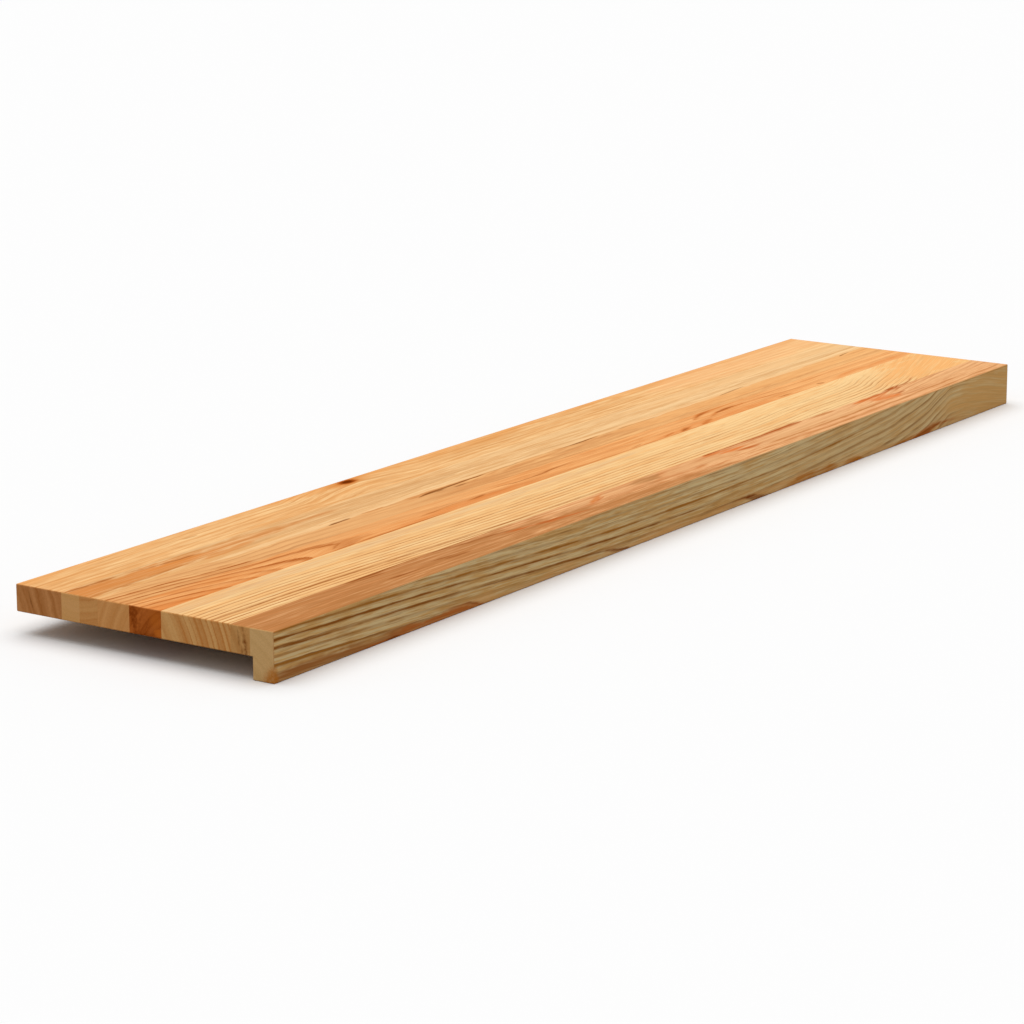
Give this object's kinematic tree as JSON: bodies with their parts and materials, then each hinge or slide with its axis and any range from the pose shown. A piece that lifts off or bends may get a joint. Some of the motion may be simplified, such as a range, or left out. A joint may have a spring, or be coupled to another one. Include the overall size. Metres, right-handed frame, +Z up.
{
  "type": "stair tread",
  "caption": "Long rectangular overlay stair tread of edge-glued solid wood staves, with a nosing strip along the front whose lip hooks over the edge of an existing step.",
  "frame": {"origin": "middle of the tread's outline, at the level of the lip's foot", "axes": "+X along the tread's length, +Y from the nosing's front face to the back edge, +Z up, square to the walking face"},
  "size_m": [1.2, 0.25, 0.04],
  "materials": {
    "nosing_strip": "bare planed and sanded larch, no oil or lacquer",
    "stave_1_front": "bare planed and sanded larch, no oil or lacquer",
    "stave_2_wide": "bare planed and sanded larch, no oil or lacquer",
    "stave_3": "bare planed and sanded larch, no oil or lacquer",
    "stave_4": "bare planed and sanded larch, no oil or lacquer",
    "stave_5": "bare planed and sanded larch, no oil or lacquer",
    "stave_6": "bare planed and sanded larch, no oil or lacquer",
    "stave_7_back": "bare planed and sanded larch, no oil or lacquer"
  },
  "bodies": {
    "root": {"nosing_strip": "nosing_strip", "stave_1_front": "stave_1_front", "stave_2_wide": "stave_2_wide", "stave_3": "stave_3", "stave_4": "stave_4", "stave_5": "stave_5", "stave_6": "stave_6", "stave_7_back": "stave_7_back"}
  },
  "joints": []
}
